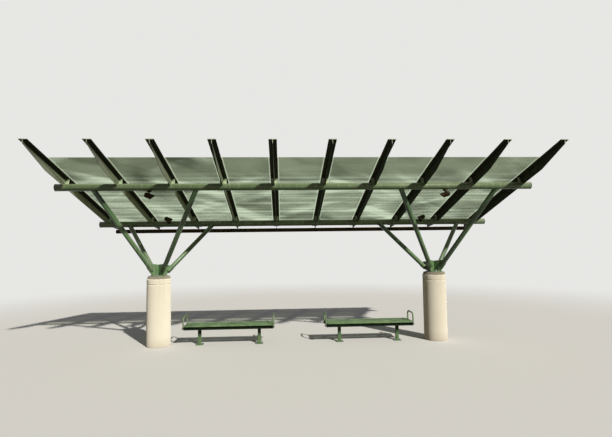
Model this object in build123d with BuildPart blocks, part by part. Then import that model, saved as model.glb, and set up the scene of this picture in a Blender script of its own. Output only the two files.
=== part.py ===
from build123d import *
import os
from math import cos, radians, sin, tan

os.makedirs("parts", exist_ok=True)

# Bus shelter: two round concrete columns carry eight raking struts, two tubular purlins and ten tapered
# tee rafters with a sloping glass roof. Two backless benches stand between the columns.
# Sizes are in millimetres and degrees. The origin is on the ground under the middle of the roof,
# +X runs along the shelter, the high open edge of the roof is at -Y and the low edge at +Y.

# Setting out
bay = 914.4                  # spacing of the rafters
rafter_count = 10
column_bays = 6              # bays between the two columns
front_reach = 2239.0         # rafter tips in front of the column line
rear_reach = 1680.0          # rafter tails behind the column line
roof_pitch = 16.0            # fall towards the rear
roof_height = 2871.0         # top of the rafters over the column line
fit = 0.3                    # gap left at welded and slotted seats

# Columns
column_diameter = 457.2
column_rim_height = 1290.0
wash_height = 55.0           # sloping mortar wash on the column's head
wash_top_diameter = 410.0
groove_below_rim = 97.0      # to the top of the vee groove
groove_height = 14.0
groove_depth = 8.0

# Hubs that join the struts to the columns
base_plate_diameter = 320.0
base_plate_thickness = 16.0
gusset_thickness = 16.0
gusset_foot_reach = 150.0    # half-length of a gusset where it meets the base plate
gusset_height = 205.0        # over the column's centre
gusset_margin = 12.0         # gusset standing proud of the strut on each side
gusset_corner_cut = 14.0

# Struts
strut_diameter = 88.9
strut_aim_below_head = 85.0  # the strut axes meet this far under the top of the column
strut_start = 250.0          # strut ends, measured along the axis from where the axes meet
strut_slot_length = 120.0
strut_spread = 914.4         # sideways from the column to the head of each strut

# Purlins
purlin_diameter = 127.0
purlin_spacing = 1910.0      # front to rear, centred on the column line
purlin_overhang = 158.0      # past the end rafters, to the end of the tube
purlin_cap_thickness = 6.0
purlin_cap_step = 3.0        # how far the cap plate is smaller in radius than the tube

# Rafters, rolled tees with the stem down
flange_width = 127.0
flange_thickness = 8.5
stem_thickness = 6.5
rafter_depth = 175.0
tip_depth = 68.0
tip_taper = 640.0
tail_depth = 56.0
tail_taper = 500.0
saddle_thickness = 10.0      # cross plates that carry the flange on the purlins
saddle_side_margin = 3.0

# Glass roof
glass_thickness = 12.0
glass_joint = 12.0
glass_front_reach = 1650.0
glass_rear_reach = 1640.0

# Round edge tube under the rafter tails
edge_tube_diameter = 88.9
edge_tube_inset = 58.0       # from the ends of the rafters to the tube's axis
tail_seat_length = 90.0      # level seat on the tube at the end of each rafter

# Floodlights on the purlins, with eight-sided boxes and sixteen-sided heads
floodlight_front_offset = 2665.0
floodlight_rear_offset = 2790.0
floodlight_front_mount = -90.0   # straight down from the purlin
floodlight_rear_mount = 35.0     # above level, to the front of the purlin
junction_width = 76.0
junction_height = 22.0
knuckle_diameter = 28.0
knuckle_length = 72.0
head_length = 122.0
head_diameter = 96.0
head_back_bevel = 28.0
hood_length = 54.0           # past the lens, cut off at a slant
hood_wall = 4.0
head_tilt = 20.0             # below level
head_turn = 18.0             # towards the column line
box_sides = 8
head_sides = 16

# Benches
bench_offset = 1371.6        # middle of each bench from the middle of the shelter
bench_length = 1690.0
bench_depth = 430.0
seat_height = 400.0
rim_height = 24.0
rim_thickness = 8.0
rim_radius = 30.0
slat_count = 7
slat_gap = 14.0
slat_thickness = 6.0
weld_overlap = 2.0           # slats and bearers run this far into the rim
bearer_count = 4
bearer_width = 12.0
bearer_inset = 95.0          # from the bench's end to the end bearer
rail_width = 30.0
rail_height = 70.0
rail_inset = 60.0            # from the seat's long edges to the rails
end_plate_thickness = 8.0
end_plate_width = 400.0
arm_width = 70.0             # cross arms on top of the posts
arm_height = 50.0
post_spacing = 1160.0
post_size = 60.0
post_foot_size = 150.0
post_foot_thickness = 10.0
post_foot_corner_cut = 12.0
hoop_diameter = 30.0         # across the flats of the eight-sided bar
hoop_sides = 8
hoop_width = 360.0           # between the two legs of an armrest
hoop_top = 570.0
hoop_foot = 322.0
hoop_radius = 75.0

# Worked out from the above
column_line = (front_reach - rear_reach) / 2
column_offset = column_bays * bay / 2
column_height = column_rim_height + wash_height
slope = tan(radians(roof_pitch))
plumb = 1 / cos(radians(roof_pitch))     # plumb height of 1 mm measured square to the roof
roof_normal = Vector(0, sin(radians(roof_pitch)), cos(radians(roof_pitch)))
tip_y = column_line - front_reach
tail_y = column_line + rear_reach
purlin_radius = purlin_diameter / 2
strut_aim_height = column_height - strut_aim_below_head
rafter_run = (rafter_count - 1) * bay
end_rafter_offset = rafter_run / 2
gusset_base = column_height + base_plate_thickness
sides = ((-1, "left"), (1, "right"))


def roof_top(y):
    """Height of the rafters' top face at a place front to rear."""
    return roof_height - (y - column_line) * slope


purlin_places = {
    "front": column_line - purlin_spacing / 2,
    "rear": column_line + purlin_spacing / 2,
}


def purlin_axis(place):
    """Place front to rear and height of a purlin's axis, on the lower edge of the rafters' stems."""
    y = purlin_places[place]
    return y, roof_top(y) - rafter_depth * plumb


# Columns: plain shafts with a vee groove under the rim and a sloping wash on the head
for side, side_name in sides:
    column_plane = Plane(origin=(side * column_offset, column_line, 0), x_dir=(1, 0, 0), z_dir=(0, -1, 0))
    radius = column_diameter / 2
    groove_top = column_rim_height - groove_below_rim
    with BuildPart() as column:
        with BuildSketch(column_plane):
            with BuildLine():
                Polyline(
                    (0, 0),
                    (radius, 0),
                    (radius, groove_top - groove_height),
                    (radius - groove_depth, groove_top - groove_height / 2),
                    (radius, groove_top),
                    (radius, column_rim_height),
                    (wash_top_diameter / 2, column_height),
                    (0, column_height),
                    close=True,
                )
            make_face()
        revolve(axis=Axis(column_plane.origin, (0, 0, 1)))
    column.part.label = f"column_{side_name}"
    export_step(column.part, f"parts/column_{side_name}.step")


# Purlins: round tubes closed by a slightly smaller cap plate at each end
for place in purlin_places:
    y, z = purlin_axis(place)
    tube_end = end_rafter_offset + purlin_overhang
    with BuildPart() as purlin:
        with BuildSketch(Plane.YZ):
            with Locations((y, z)):
                Circle(purlin_radius)
        extrude(amount=tube_end, both=True)
        with BuildSketch(Plane.YZ):
            with Locations((y, z)):
                Circle(purlin_radius - purlin_cap_step)
        extrude(amount=tube_end + purlin_cap_thickness, both=True)
    purlin.part.label = f"{place}_purlin"
    export_step(purlin.part, f"parts/{place}_purlin.step")


# Struts: each runs from a hub to the underside of a purlin, where its head is coped to the round tube.
# Its foot is slotted over the hub's gusset.
def strut_ends(side, place, lean):
    """Where a strut's axis meets the column's axis and the purlin's axis."""
    x = side * column_offset
    y, z = purlin_axis(place)
    return Vector(x, column_line, strut_aim_height), Vector(x + lean * strut_spread, y, z)


for side, side_name in sides:
    for place in purlin_places:
        for lean, lean_name in ((side, "outer"), (-side, "inner")):
            aim, head = strut_ends(side, place, lean)
            direction = (head - aim).normalized()
            across = Vector(0, 0, 1).cross(direction).normalized()
            foot_plane = Plane(origin=aim + direction * strut_start, x_dir=across, z_dir=direction)
            name = f"strut_{side_name}_{place}_{lean_name}"
            with BuildPart() as strut:
                with BuildSketch(foot_plane):
                    Circle(strut_diameter / 2)
                extrude(amount=(head - aim).length - strut_start)
                with BuildSketch(foot_plane):
                    Rectangle(gusset_thickness + 2 * fit, 2 * strut_diameter)
                extrude(amount=strut_slot_length + fit, mode=Mode.SUBTRACT)
                with BuildSketch(Plane.YZ.offset(head.X)):
                    with Locations((head.Y, head.Z)):
                        Circle(purlin_radius + fit)
                extrude(amount=2 * strut_diameter, both=True, mode=Mode.SUBTRACT)
            strut.part.label = name
            export_step(strut.part, f"parts/{name}.step")


# Hubs: a round base plate with four upright gussets, one in line with each strut
for side, side_name in sides:
    with BuildPart() as hub:
        with BuildSketch(Plane.XY.offset(column_height)):
            with Locations((side * column_offset, column_line)):
                Circle(base_plate_diameter / 2)
        extrude(amount=base_plate_thickness)
        for place in purlin_places:
            for lean in (-1, 1):
                aim, head = strut_ends(side, place, lean)
                run = Vector(head.X - aim.X, head.Y - aim.Y, 0)
                outward = run.normalized()
                gusset_plane = Plane(
                    origin=(aim.X, aim.Y, 0), x_dir=outward, z_dir=outward.cross(Vector(0, 0, 1))
                )
                rake = Vector(run.length, head.Z - aim.Z).normalized()
                square = Vector(-rake.Y, rake.X)
                tongue_end = Vector(0, strut_aim_height) + rake * (strut_start + strut_slot_length)
                tongue_half = square * (strut_diameter / 2 + gusset_margin)
                lower_corner = tongue_end - tongue_half
                upper_corner = tongue_end + tongue_half
                with BuildSketch(gusset_plane) as gusset:
                    with BuildLine():
                        Polyline(
                            (0, gusset_base),
                            (gusset_foot_reach, gusset_base),
                            (lower_corner.X, lower_corner.Y),
                            (upper_corner.X, upper_corner.Y),
                            (0, gusset_base + gusset_height),
                            close=True,
                        )
                    make_face()
                    chamfer(gusset.vertices().sort_by(Axis.X)[-2:], gusset_corner_cut)
                extrude(amount=gusset_thickness / 2, both=True)
    hub.part.label = f"hub_{side_name}"
    export_step(hub.part, f"parts/hub_{side_name}.step")


# Rafters: tees with plumb-cut ends. The stem tapers towards both ends, is notched over each purlin and
# ends in a level seat on the edge tube. Saddle plates stand on the purlins under the flange.
tail_seat = roof_top(tail_y) - tail_depth * plumb
full_depth_start = tip_y + tip_taper
full_depth_end = tail_y - tail_seat_length - tail_taper

for number in range(1, rafter_count + 1):
    x = (number - 1) * bay - end_rafter_offset
    with BuildPart() as rafter:
        with BuildSketch(Plane.YZ.offset(x)):
            with BuildLine():
                Polyline(
                    (tip_y, roof_top(tip_y)),
                    (tail_y, roof_top(tail_y)),
                    (tail_y, roof_top(tail_y) - flange_thickness * plumb),
                    (tip_y, roof_top(tip_y) - flange_thickness * plumb),
                    close=True,
                )
            make_face()
        extrude(amount=flange_width / 2, both=True)
        with BuildSketch(Plane.YZ.offset(x)):
            with BuildLine():
                Polyline(
                    (tip_y, roof_top(tip_y)),
                    (tip_y, roof_top(tip_y) - tip_depth * plumb),
                    (full_depth_start, roof_top(full_depth_start) - rafter_depth * plumb),
                    (full_depth_end, roof_top(full_depth_end) - rafter_depth * plumb),
                    (tail_y - tail_seat_length, tail_seat),
                    (tail_y, tail_seat),
                    (tail_y, roof_top(tail_y)),
                    close=True,
                )
            make_face()
            with Locations([purlin_axis(place) for place in purlin_places]):
                Circle(purlin_radius + fit, mode=Mode.SUBTRACT)
        extrude(amount=stem_thickness / 2, both=True)
        for place in purlin_places:
            purlin_centre = Vector(x, *purlin_axis(place))
            saddle_plane = Plane(
                origin=purlin_centre + roof_normal * (purlin_radius + fit), x_dir=(1, 0, 0), z_dir=roof_normal
            )
            with BuildSketch(saddle_plane):
                Rectangle(flange_width - 2 * saddle_side_margin, saddle_thickness)
            extrude(amount=rafter_depth - flange_thickness - purlin_radius - fit)
    rafter.part.label = f"rafter_{number:02d}"
    export_step(rafter.part, f"parts/rafter_{number:02d}.step")


# Glass: one panel to a bay, lying on the flanges with an open joint over each rafter's centre
glass_middle = column_line + (glass_rear_reach - glass_front_reach) / 2
for number in range(1, rafter_count):
    x = (number - 0.5) * bay - end_rafter_offset
    glass_plane = Plane(
        origin=(x, glass_middle, roof_top(glass_middle)), x_dir=(1, 0, 0), z_dir=roof_normal
    )
    with BuildPart() as glass:
        with BuildSketch(glass_plane):
            Rectangle(bay - glass_joint, (glass_front_reach + glass_rear_reach) * plumb)
        extrude(amount=glass_thickness)
    glass.part.label = f"glass_{number:02d}"
    export_step(glass.part, f"parts/glass_{number:02d}.step")


# Edge tube: a round tube under the level seats of the rafter tails, flush with the end rafters
with BuildPart() as edge_tube:
    with BuildSketch(Plane.YZ):
        with Locations((tail_y - edge_tube_inset, tail_seat - fit - edge_tube_diameter / 2)):
            Circle(edge_tube_diameter / 2)
    extrude(amount=end_rafter_offset + flange_width / 2, both=True)
edge_tube.part.label = "rear_edge_tube"
export_step(edge_tube.part, "parts/rear_edge_tube.step")


# Floodlights: a junction box on the purlin, a knuckle and a bullet head with a slanted hood round its lens.
# The front pair hangs under its purlin and the rear pair stands on the front of its own, aimed at the benches.
for place, offset, mount_angle, turn_side in (
    ("front", floodlight_front_offset, floodlight_front_mount, 1),
    ("rear", floodlight_rear_offset, floodlight_rear_mount, -1),
):
    y, z = purlin_axis(place)
    mount = Vector(0, -cos(radians(mount_angle)), sin(radians(mount_angle)))
    box_height = purlin_radius + junction_height
    level = cos(radians(head_tilt))
    for side, side_name in sides:
        x = side * offset
        head_axis = Vector(
            -side * level * cos(radians(head_turn)),
            turn_side * level * sin(radians(head_turn)),
            -sin(radians(head_tilt)),
        )
        across = Vector(0, 0, 1).cross(head_axis).normalized()
        mount_plane = Plane(origin=(x, y, z), x_dir=(1, 0, 0), z_dir=mount)
        head_middle = Vector(x, y, z) + mount * (box_height + knuckle_length)
        head_back = head_middle - head_axis * (head_length + hood_length) / 2
        head_plane = Plane(origin=head_back, x_dir=across, z_dir=head_axis)
        name = f"floodlight_{place}_{side_name}"
        with BuildPart() as floodlight:
            with BuildSketch(head_plane):
                RegularPolygon(head_diameter / 2, head_sides, major_radius=False)
            extrude(amount=head_length)
            head_rim = floodlight.faces().sort_by(Axis(head_back, head_axis))[0].edges()
            chamfer(head_rim, head_back_bevel)
            with BuildSketch(head_plane.offset(head_length)):
                RegularPolygon(head_diameter / 2, head_sides, major_radius=False)
                RegularPolygon(
                    head_diameter / 2 - hood_wall, head_sides, major_radius=False, mode=Mode.SUBTRACT
                )
            extrude(amount=hood_length)
            with BuildSketch(Plane(origin=head_back, x_dir=head_axis, z_dir=across)):
                with BuildLine():
                    Polyline(
                        (head_length, head_diameter),
                        (head_length, head_diameter / 2),
                        (head_length + hood_length, -head_diameter / 2),
                        (head_length + hood_length, head_diameter),
                        close=True,
                    )
                make_face()
            extrude(amount=head_diameter, both=True, mode=Mode.SUBTRACT)
            with BuildSketch(mount_plane.offset(box_height)):
                RegularPolygon(knuckle_diameter / 2, box_sides, major_radius=False)
            extrude(amount=knuckle_length)
            with BuildSketch(mount_plane):
                RegularPolygon(junction_width / 2, box_sides, major_radius=False)
            extrude(amount=box_height)
            with BuildSketch(Plane.YZ.offset(x)):
                with Locations((y, z)):
                    Circle(purlin_radius + fit)
            extrude(amount=junction_width, both=True, mode=Mode.SUBTRACT)
        floodlight.part.label = name
        export_step(floodlight.part, f"parts/{name}.step")


# Benches: a slatted steel seat on two rails, with cross arms on two posts and a hoop armrest at each end
for side, side_name in sides:
    x = side * bench_offset
    rail_top = seat_height - rim_height
    slat_pitch = (bench_depth - 2 * rim_thickness + slat_gap) / slat_count
    bearer_pitch = (bench_length - 2 * bearer_inset) / (bearer_count - 1)
    with BuildPart() as seat:
        with BuildSketch(Plane.XY.offset(seat_height)):
            with Locations((x, column_line)):
                RectangleRounded(bench_length, bench_depth, rim_radius)
                RectangleRounded(
                    bench_length - 2 * rim_thickness,
                    bench_depth - 2 * rim_thickness,
                    rim_radius - rim_thickness,
                    mode=Mode.SUBTRACT,
                )
        extrude(amount=-rim_height)
        with BuildSketch(Plane.XY.offset(seat_height)):
            with Locations((x, column_line)):
                with GridLocations(0, slat_pitch, 1, slat_count):
                    Rectangle(bench_length - 2 * (rim_thickness - weld_overlap), slat_pitch - slat_gap)
        extrude(amount=-slat_thickness)
        with BuildSketch(Plane.XY.offset(rail_top)):
            with Locations((x, column_line)):
                with GridLocations(bearer_pitch, 0, bearer_count, 1):
                    Rectangle(bearer_width, bench_depth - 2 * (rim_thickness - weld_overlap))
        extrude(amount=seat_height - slat_thickness + weld_overlap - rail_top)
    seat.part.label = f"bench_{side_name}_seat"
    export_step(seat.part, f"parts/bench_{side_name}_seat.step")

    with BuildPart() as beam:
        with BuildSketch(Plane.XY.offset(rail_top)):
            with Locations((x, column_line)):
                with GridLocations(0, bench_depth - 2 * rail_inset - rail_width, 1, 2):
                    Rectangle(bench_length, rail_width)
                with GridLocations(bench_length - end_plate_thickness, 0, 2, 1):
                    Rectangle(end_plate_thickness, end_plate_width)
        extrude(amount=-rail_height)
        with BuildSketch(Plane.XY.offset(rail_top - rail_height)):
            with Locations((x, column_line)):
                with GridLocations(post_spacing, 0, 2, 1):
                    Rectangle(arm_width, bench_depth - 2 * rail_inset)
        extrude(amount=arm_height)
    beam.part.label = f"bench_{side_name}_beam"
    export_step(beam.part, f"parts/bench_{side_name}_beam.step")

    with BuildPart() as posts:
        with BuildSketch(Plane.XY):
            with Locations((x, column_line)):
                with GridLocations(post_spacing, 0, 2, 1):
                    Rectangle(post_foot_size, post_foot_size)
        extrude(amount=post_foot_thickness)
        chamfer(posts.edges().filter_by(Axis.Z), post_foot_corner_cut)
        with BuildSketch(Plane.XY):
            with Locations((x, column_line)):
                with GridLocations(post_spacing, 0, 2, 1):
                    Rectangle(post_size, post_size)
        extrude(amount=rail_top - rail_height)
    posts.part.label = f"bench_{side_name}_posts"
    export_step(posts.part, f"parts/bench_{side_name}_posts.step")

    with BuildPart() as armrests:
        for end in (-1, 1):
            hoop_x = x + end * (bench_length / 2 + hoop_diameter / 2 + fit)
            with BuildLine(Plane.YZ.offset(hoop_x)) as hoop_path:
                FilletPolyline(
                    (column_line - hoop_width / 2, hoop_foot),
                    (column_line - hoop_width / 2, hoop_top - hoop_diameter / 2),
                    (column_line + hoop_width / 2, hoop_top - hoop_diameter / 2),
                    (column_line + hoop_width / 2, hoop_foot),
                    radius=hoop_radius,
                )
            with BuildSketch(Plane.XY.offset(hoop_foot)):
                with Locations((hoop_x, column_line - hoop_width / 2)):
                    RegularPolygon(
                        hoop_diameter / 2, hoop_sides, major_radius=False, rotation=180 / hoop_sides
                    )
            sweep(path=hoop_path.line)
    armrests.part.label = f"bench_{side_name}_armrests"
    export_step(armrests.part, f"parts/bench_{side_name}_armrests.step")
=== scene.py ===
"""Finishes a glass-roofed bus shelter: paint, concrete, glass, sealant, welds, bolts, lamps and a plain stage."""

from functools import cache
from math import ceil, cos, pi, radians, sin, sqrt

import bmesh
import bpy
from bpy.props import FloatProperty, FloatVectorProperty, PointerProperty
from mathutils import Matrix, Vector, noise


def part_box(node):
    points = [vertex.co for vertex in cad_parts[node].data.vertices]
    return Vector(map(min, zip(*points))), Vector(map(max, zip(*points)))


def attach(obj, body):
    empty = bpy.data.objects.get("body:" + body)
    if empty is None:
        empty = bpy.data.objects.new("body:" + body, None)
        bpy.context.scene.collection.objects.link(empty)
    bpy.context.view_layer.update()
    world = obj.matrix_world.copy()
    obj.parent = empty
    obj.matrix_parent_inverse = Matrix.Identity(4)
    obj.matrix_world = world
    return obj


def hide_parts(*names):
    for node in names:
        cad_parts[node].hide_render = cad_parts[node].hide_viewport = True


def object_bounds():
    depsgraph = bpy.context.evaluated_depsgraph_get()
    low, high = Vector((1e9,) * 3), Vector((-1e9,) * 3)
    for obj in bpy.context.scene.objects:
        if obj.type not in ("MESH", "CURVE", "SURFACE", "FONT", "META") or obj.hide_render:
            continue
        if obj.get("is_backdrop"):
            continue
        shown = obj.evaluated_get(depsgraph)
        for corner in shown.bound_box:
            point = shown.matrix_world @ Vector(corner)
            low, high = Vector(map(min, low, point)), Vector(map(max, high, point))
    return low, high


bl_info = {
    "name": "Bus shelter finish",
    "version": (1, 0, 0),
    "blender": (4, 5, 0),
    "location": "3D View > Sidebar > Shelter",
    "description": "Dresses a bus shelter's plain solids as painted steel, concrete and weathered glass",
    "category": "Object",
}

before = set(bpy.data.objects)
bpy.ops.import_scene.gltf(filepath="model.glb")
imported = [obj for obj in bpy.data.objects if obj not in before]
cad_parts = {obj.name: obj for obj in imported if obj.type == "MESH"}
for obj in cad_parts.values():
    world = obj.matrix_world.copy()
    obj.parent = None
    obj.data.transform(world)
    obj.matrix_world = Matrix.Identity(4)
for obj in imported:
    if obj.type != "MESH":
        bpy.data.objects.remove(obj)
cad_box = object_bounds()

BODY = "root"
HANDS = {"left": -1, "right": 1}
PLACES = ("front", "rear")
UP = Vector((0, 0, 1))
ALONG = Vector((1, 0, 0))


# Places read from the frame

def middle(node):
    """The middle of a CAD piece's box."""
    low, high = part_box(node)
    return (low + high) / 2


def extent(node):
    """How far a CAD piece's box reaches along each axis."""
    low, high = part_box(node)
    return high - low


def nodes_named(start):
    """The CAD pieces whose names start in this way, in order."""
    return sorted(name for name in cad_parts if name.startswith(start))


def top_edge(node, end):
    """The highest point of a piece at its front (end -1) or rear (end 1)."""
    points = [v.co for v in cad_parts[node].data.vertices]
    reach = max(end * p.y for p in points)
    return max((p for p in points if end * p.y > reach - 1e-4), key=lambda p: p.z)


RAFTERS = nodes_named("rafter_")
PANES = nodes_named("glass_")
STRUTS = nodes_named("strut_")
RAFTER_X = [middle(name).x for name in RAFTERS]
BAY = RAFTER_X[1] - RAFTER_X[0]
TIP = top_edge(RAFTERS[0], -1)
TAIL = top_edge(RAFTERS[0], 1)
DOWN_SLOPE = Vector((0, TAIL.y - TIP.y, TAIL.z - TIP.z)).normalized()
ROOF_NORMAL = ALONG.cross(DOWN_SLOPE).normalized()
FLANGE_WIDTH = extent(RAFTERS[0]).x
GLASS_FRONT, GLASS_REAR = (corner.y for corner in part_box(PANES[0]))
COLUMN_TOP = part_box("column_left")[1].z
COLUMN_RADIUS = extent("column_left").x / 2
COLUMN_Y = middle("column_left").y
PURLIN_RADIUS = extent("front_purlin").z / 2
AIM_BELOW_HEAD = 0.085
STRUT_RADIUS = 0.04445
STRUT_START = 0.250
STRUT_SLOT = 0.120
GUSSET_START = 0.012
GUSSET_REACH = 0.150
GUSSET_HALF = 0.008
BASE_PLATE_TOP = COLUMN_TOP + 0.016
FOOT_PLATE_TOP = 0.010


def on_roof(x, y, above=0.0):
    """A point on the rafters' top face, or this far above it, square to the roof."""
    along = (y - TIP.y) / DOWN_SLOPE.y
    return Vector((x, TIP.y, TIP.z)) + DOWN_SLOPE * along + ROOF_NORMAL * above


def struts():
    """Each strut's axis from the column's to the purlin's, its direction, and two directions square to it."""
    for side, hand in HANDS.items():
        column = middle(f"column_{side}")
        aim = Vector((column.x, column.y, COLUMN_TOP - AIM_BELOW_HEAD))
        for place in PLACES:
            purlin = middle(f"{place}_purlin")
            for lean in (-hand, hand):
                head = Vector((column.x + lean * BAY, purlin.y, purlin.z))
                direction = (head - aim).normalized()
                across = UP.cross(direction).normalized()
                yield aim, head, direction, across, direction.cross(across)


def turns(steps, start=0.0):
    """The cosine and sine of even steps round a circle."""
    return [(cos(2 * pi * (i + start) / steps), sin(2 * pi * (i + start) / steps)) for i in range(steps)]


# Settings

def colour(name, description, default):
    """A colour setting, in linear values."""
    return FloatVectorProperty(
        name=name, description=description, default=default, subtype="COLOR", size=3, min=0, max=1
    )


def length(name, description, default):
    """A length setting, in metres."""
    return FloatProperty(name=name, description=description, default=default, unit="LENGTH", min=0)


def angle(name, description, degrees):
    """An angle setting."""
    return FloatProperty(name=name, description=description, default=radians(degrees), subtype="ANGLE")


class ShelterColours(bpy.types.PropertyGroup):
    """Colours of the shelter's finishes."""

    frame_green: colour("Frame green", "Paint of the purlins", (0.062, 0.125, 0.048))
    # Painted sunlight: the purlins' paint tone on faces turned to the key light, partly sun fading.
    frame_faded: colour("Faded frame green", "The same paint where sun has dulled it", (0.165, 0.232, 0.128))
    # Painted shade and painted sunlight: a shaded and a lit copy of the struts' and hubs' paint.
    strut_green: colour("Strut green", "Paint of the struts and hubs in the shade", (0.034, 0.075, 0.028))
    strut_faded: colour("Faded strut green", "Paint of the struts and hubs in the sun", (0.122, 0.240, 0.096))
    # Painted shade on the rafters' faces turned from the key light and under their flanges; painted sunlight and
    # highlight on their lit faces.
    rafter_green: colour("Rafter green", "Sooty paint on the rafters' shaded faces", (0.016, 0.024, 0.012))
    rafter_faded: colour("Faded rafter green", "Paint of the rafters where the sun reaches", (0.60, 0.71, 0.52))
    bench_green: colour("Bench green", "Paint of the benches", (0.055, 0.125, 0.048))
    # Dark tone, used as painted shade under the seats, on the rails' sides and in the seat's shadow on the posts and
    # rails, and for dark patches on top.
    bench_dark: colour("Dark bench green", "The same paint under the seats, where it stays damp", (0.012, 0.024, 0.012))
    bench_worn: colour("Worn bench green", "The same paint where people sit", (0.26, 0.40, 0.19))
    hoop_worn: colour("Worn armrest green", "The same paint on the armrests, rubbed pale by hands", (0.26, 0.34, 0.21))
    dust: colour("Dust", "Pale dust that lies on what faces up", (0.42, 0.45, 0.34))
    rust: colour("Rust", "Rust in small chips of the paint", (0.16, 0.06, 0.025))
    bronze: colour("Bronze", "Paint of the edge tube and the floodlights", (0.025, 0.017, 0.008))
    column_paint: colour("Column paint", "Cream masonry paint of the columns", (0.95, 0.91, 0.78))
    column_stain: colour("Column stain", "Runs and splashes on the columns", (0.42, 0.33, 0.22))
    mortar: colour("Mortar", "Bare mortar on the columns' heads", (0.47, 0.43, 0.33))
    haze: colour("Haze", "Film of dirt on top of the glass", (0.62, 0.70, 0.56))
    grime: colour("Grime", "Darker dirt where rain leaves it on the glass", (0.19, 0.24, 0.18))
    glass_tint: colour("Glass tint", "What colour the clean glass lets through", (0.850, 0.920, 0.800))
    sun_past_front: colour(
        "Sun past the front", "Sunlight let on by the cleaner front of the glass", (0.92, 0.94, 0.88)
    )
    sun_past_rear: colour("Sun past the rear", "Sunlight let on by the dusty rear of the glass", (0.20, 0.22, 0.17))
    glass_edge: colour("Glass edge", "Polished edges of the glass", (0.80, 0.90, 0.80))
    sealant: colour("Sealant", "Weathered silicone beside and between the panes", (0.50, 0.51, 0.45))
    zinc: colour("Zinc", "Galvanised nuts, bolts and washers", (0.52, 0.53, 0.53))
    lens: colour("Lens", "Glass of the floodlights", (0.62, 0.64, 0.60))


class SteelSizes(bpy.types.PropertyGroup):
    """Small sizes of the steelwork."""

    edge_round: length("Edge rounding", "Radius on the edges of plates and rolled sections", 0.0016)
    weld: length("Weld", "Radius of a weld bead on struts, hubs and purlins", 0.0055)
    small_weld: length("Small weld", "Radius of a weld bead on saddle plates and posts", 0.0035)
    ripple: length("Ripple", "Distance between the ripples of a weld", 0.006)
    anchor_circle: length("Anchor circle", "From a column's middle to its anchor bolts", 0.132)
    anchor_nut: length("Anchor nut", "Across the flats of an anchor nut", 0.030)
    foot_bolt_inset: length("Foot bolt inset", "From a foot plate's edge to its bolts", 0.024)
    foot_nut: length("Foot nut", "Across the flats of a foot plate's nut", 0.018)


class RoofSizes(bpy.types.PropertyGroup):
    """Small sizes of the glazing."""

    arris: length("Arris", "Bevel on the edges of the glass", 0.0012)
    bead: length("Sealant bead", "Radius of the sealant beside each flange", 0.0055)
    joint_sink: length("Joint sink", "How far the sealant between panes lies below the glass", 0.0025)
    clean_band: length("Clean band", "Width of the paler band of glass beside each flange", 0.026)
    stop_width: length("Stop width", "Width of the angle that holds the low edge of the glass", 0.060)
    stop_leg: length("Stop leg", "Leg of that angle along the rafter", 0.030)
    stop_height: length("Stop height", "Upright leg of that angle", 0.017)
    stop_wall: length("Stop wall", "Thickness of that angle", 0.003)


class LampSizes(bpy.types.PropertyGroup):
    """Sizes of the floodlights, as the solids have them."""

    diameter: length("Diameter", "Outside diameter of the head", 0.096)
    body: length("Body", "Length of the head behind the lens", 0.122)
    hood: length("Hood", "Length of the slanted hood past the lens", 0.054)
    wall: length("Wall", "Thickness of the hood", 0.0035)
    box_width: length("Box width", "Across the flats of the junction box", 0.076)
    box_height: length("Box height", "Depth of the junction box off the purlin", 0.022)
    knuckle: length("Knuckle", "From the junction box to the middle of the head", 0.072)
    tilt: angle("Tilt", "How far the head looks below level", 20)
    turn: angle("Turn", "How far the head turns towards the middle of the roof", 18)
    front_offset: length("Front offset", "From the middle of the shelter to a front floodlight", 2.665)
    rear_offset: length("Rear offset", "From the middle of the shelter to a rear floodlight", 2.790)
    front_mount: angle("Front mount", "How far above level a front floodlight is mounted on its purlin", -90)
    rear_mount: angle("Rear mount", "How far above level a rear floodlight is mounted on its purlin", 35)


class BenchSizes(bpy.types.PropertyGroup):
    """Sizes of the armrests and the fixings on the benches."""

    hoop: length("Hoop", "Diameter of an armrest's bar", 0.030)
    hoop_bend: length("Hoop bend", "Radius of an armrest's corners", 0.075)
    cap_nut: length("Cap nut", "Across the flats of the nuts on the armrests", 0.022)


class StageSettings(bpy.types.PropertyGroup):
    """Camera, lamps and floor."""

    camera_place: FloatVectorProperty(
        name="Camera", description="Where the camera stands", default=(-0.3238, -8.4563, 1.8716), subtype="XYZ"
    )
    camera_turn: angle("Turn", "How far the camera turns to the right of +Y", 3.146)
    camera_rise: angle("Rise", "How far the camera looks up", 3.77)
    camera_roll: angle("Roll", "How far the camera leans over to its right", 0.71)
    lens: FloatProperty(name="Lens", description="Focal length on a frame 36 mm wide", default=25.6)
    sun_turn: angle("Sun turn", "How far right of the front the sun stands", 31.9)
    sun_height: angle("Sun height", "Height of the sun above the horizon", 33.8)
    sun_strength: FloatProperty(name="Sun strength", description="Strength of the key lamp", default=3.18)
    sun_spread: angle("Sun spread", "Size of the sun, which softens the shadows", 1.6)
    sky_strength: FloatProperty(name="Sky strength", description="Light from all round", default=0.12)
    sky_tint: colour("Sky", "Colour of the light from all round", (0.95, 0.96, 1.0))
    backdrop: colour("Backdrop", "What shows behind the shelter", (0.80, 0.80, 0.78))
    floor_tone: colour("Floor", "Colour of the floor as seen", (0.96, 0.95, 0.925))
    floor_bounce: colour("Floor bounce", "Colour of the light that the floor throws back up", (0.20, 0.145, 0.095))
    floor_size: length("Floor size", "Half the width of the floor", 60.0)
    floor_fade_start: length("Fade start", "Where the floor starts to fade into the backdrop", 7.0)
    floor_fade_end: length("Fade end", "Where the floor has faded into the backdrop", 16.0)


SETTINGS = {
    "shelter_colours": ShelterColours,
    "shelter_steel": SteelSizes,
    "shelter_roof": RoofSizes,
    "shelter_lamps": LampSizes,
    "shelter_benches": BenchSizes,
    "shelter_stage": StageSettings,
}


# Node trees

def working(operation, turned=False):
    """One of Value's operators, which adds a Math node."""
    def work(self, other):
        return self.tree.maths(operation, *((other, self) if turned else (self, other)))

    return work


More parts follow.
